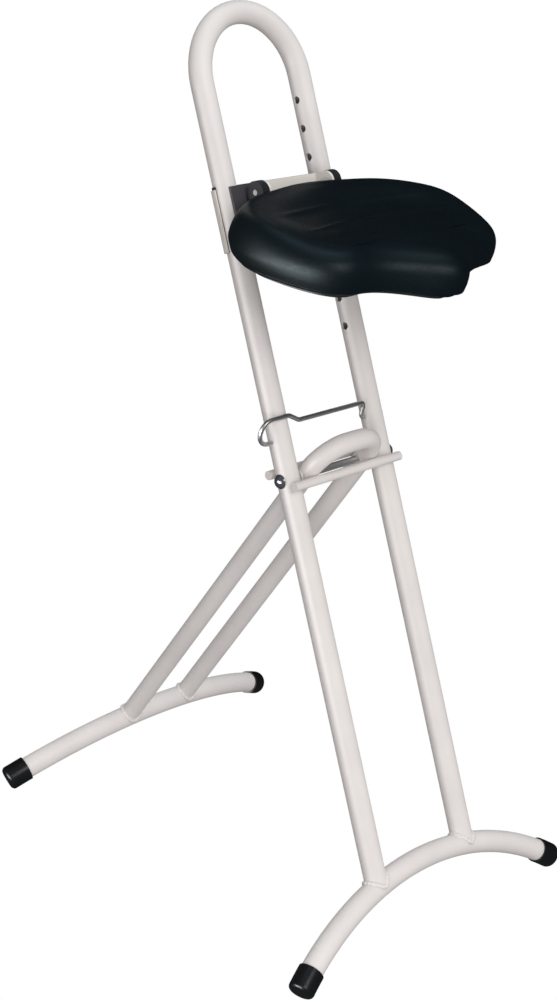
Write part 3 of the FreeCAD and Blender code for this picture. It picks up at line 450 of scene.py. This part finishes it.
def weld_line(foot, leg, x, side, lean):
    """Line on the foot's skin round the leg, found by rays along the leg."""
    obj = nodes[foot]
    skin = BVHTree.FromPolygons([obj.matrix_world @ v.co for v in obj.data.vertices],
                                [tuple(p.vertices) for p in obj.data.polygons])
    down = Vector((0, math.sin(lean), -math.cos(lean)))
    across = Vector((1, 0, 0))
    depth = down.cross(across)
    radius = leg_radius(leg, x) - IN_LEG
    start = Vector((side * x, PIVOT.y, PIVOT.z)) + down * ((PIVOT.z - START_HEIGHT) / math.cos(lean))
    spots = []
    for i in range(TURNS):
        a = 2 * math.pi * i / TURNS
        edge = start + radius * (math.cos(a) * across + math.sin(a) * depth)
        hit = skin.ray_cast(edge, down)[0]
        if hit is None:
            hit = skin.find_nearest(edge + down * NEAREST_BELOW)[0]
        spots.append(hit)
    return [sum((spots[(i + k) % TURNS] for k in NEIGHBOURS), Vector()) / len(NEIGHBOURS)
            for i in range(TURNS)]


def weld_bead(name, foot, leg, x, side, lean, body):
    path = weld_line(foot, leg, x, side, lean)
    middle = sum(path, Vector()) / TURNS
    verts = []
    faces = []
    for i in range(TURNS):
        way = (path[(i + 1) % TURNS] - path[i - 1]).normalized()
        out = (path[i] - middle) - way * (path[i] - middle).dot(way)
        out.normalize()
        rise = way.cross(out)
        size = BEAD_RADIUS * (1 + RIPPLE_SHARE * math.sin(i * 2 * math.pi * RIPPLES / TURNS))
        j = (i + 1) % TURNS
        for k in range(SIDES):
            b = 2 * math.pi * k / SIDES
            verts.append(path[i] + out * BEAD_OUT + size * (math.cos(b) * out + math.sin(b) * rise))
            m = (k + 1) % SIDES
            faces.append((i * SIDES + k, j * SIDES + k, j * SIDES + m, i * SIDES + m))
    obj = solid_object(name, verts, faces)
    obj.data.materials.append(PAINT)
    smooth_by_angle(obj, degrees=60)
    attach(obj, body)


for word, side in (("left", -1), ("right", 1)):
    weld_bead("front_%s_weld" % word, "front_foot_tube", "main_tube", MAIN_LEG_X, side, -MAIN_LEAN,
              "main_frame")
    weld_bead("rear_%s_weld" % word, "rear_foot_tube", "rear_tube", REAR_LEG_X, side, REAR_LEAN,
              "rear_frame")

# Camera fitted to the photograph.
CAMERA_SPOT = (-1.537759, -1.318935, 1.312707)
yaw, pitch, roll = math.radians(-48.135), math.radians(23.87), math.radians(7.169)
ahead = Vector((-math.sin(yaw) * math.cos(pitch), math.cos(yaw) * math.cos(pitch), -math.sin(pitch)))
level_right = Vector((math.cos(yaw), math.sin(yaw), 0))
level_up = level_right.cross(ahead)
right = math.cos(roll) * level_right + math.sin(roll) * level_up
up = -math.sin(roll) * level_right + math.cos(roll) * level_up
turn = Matrix((right, up, -ahead)).transposed().to_4x4()
camera = bpy.data.objects.new("camera", bpy.data.cameras.new("camera"))
bpy.context.collection.objects.link(camera)
camera.data.lens = 72.853
camera.data.sensor_width = 36
camera.data.clip_end = 50
camera.matrix_world = Matrix.Translation(CAMERA_SPOT) @ turn
bpy.context.scene.camera = camera

# White backdrop and diffuse light; reflections see a dim room with softboxes.
world = bpy.data.worlds.new("studio")
bpy.context.scene.world = world
world.use_nodes = True
sky = world.node_tree
rays = sky.nodes.new("ShaderNodeLightPath")


def glow(heading, low, high, colour):
    """Light that rises from low to high towards a heading."""
    coords = sky.nodes.new("ShaderNodeTexCoord")
    along = sky.nodes.new("ShaderNodeVectorMath")
    along.operation = "DOT_PRODUCT"
    along.inputs[1].default_value = Vector(heading).normalized()
    sky.links.new(coords.outputs["Generated"], along.inputs[0])
    level = sky.nodes.new("ShaderNodeMapRange")
    level.inputs["From Min"].default_value = -1
    level.inputs["To Min"].default_value = low
    level.inputs["To Max"].default_value = high
    sky.links.new(along.outputs["Value"], level.inputs["Value"])
    node = sky.nodes.new("ShaderNodeBackground")
    node.inputs["Color"].default_value = (*colour, 1)
    sky.links.new(level.outputs["Result"], node.inputs["Strength"])
    return node.outputs["Background"]


def pick(ray, other, chosen):
    """Chosen for one kind of ray, other for the rest."""
    mix = sky.nodes.new("ShaderNodeMixShader")
    sky.links.new(rays.outputs[ray], mix.inputs["Fac"])
    sky.links.new(other, mix.inputs[1])
    sky.links.new(chosen, mix.inputs[2])
    return mix.outputs["Shader"]


diffuse = glow((0.2, -0.35, 0.915), low=0.25, high=0.76, colour=(1.0, 0.97, 0.96))
mirrored = glow((-0.76, -0.65, 0.1), low=0.0, high=0.22, colour=(0.75, 0.92, 1.0))
backdrop = glow((0, 0, 1), low=1.0, high=1.0, colour=(1, 1, 1))
seen = pick("Is Glossy Ray", diffuse, mirrored)
sky.links.new(pick("Is Camera Ray", seen, backdrop), sky.nodes["World Output"].inputs["Surface"])


def area_light(name, spot, target, size, power, colour):
    lamp = bpy.data.lights.new(name, "AREA")
    lamp.shape = "RECTANGLE"
    lamp.size, lamp.size_y = size
    lamp.energy = power
    lamp.color = colour
    obj = bpy.data.objects.new(name, lamp)
    bpy.context.collection.objects.link(obj)
    obj.location = spot
    obj.rotation_euler = (Vector(target) - Vector(spot)).to_track_quat("-Z", "Y").to_euler()
    return obj


area_light("key", (-0.7, -2.4, 2.5), target=(0, 0, 0.5), size=(1.4, 1.4), power=26,
           colour=(1.0, 0.965, 0.955))
area_light("top", (0.2, 0.2, 3.0), target=(0, 0, 0.6), size=(1.4, 1.4), power=8,
           colour=(0.70, 0.90, 1.0))
fill = area_light("fill", (-1.9, -1.9, 0.7), target=(0, 0, 0.4), size=(1.2, 1.2), power=18,
                  colour=(1.0, 0.97, 0.96))
fill.visible_glossy = False
low = area_light("low", (-2.3, 0.0, 0.35), target=(0, -0.1, 0.7), size=(2.0, 0.9), power=80,
                 colour=(1.0, 0.965, 0.97))
low.visible_diffuse = False
bpy.context.scene.view_settings.view_transform = "Standard"
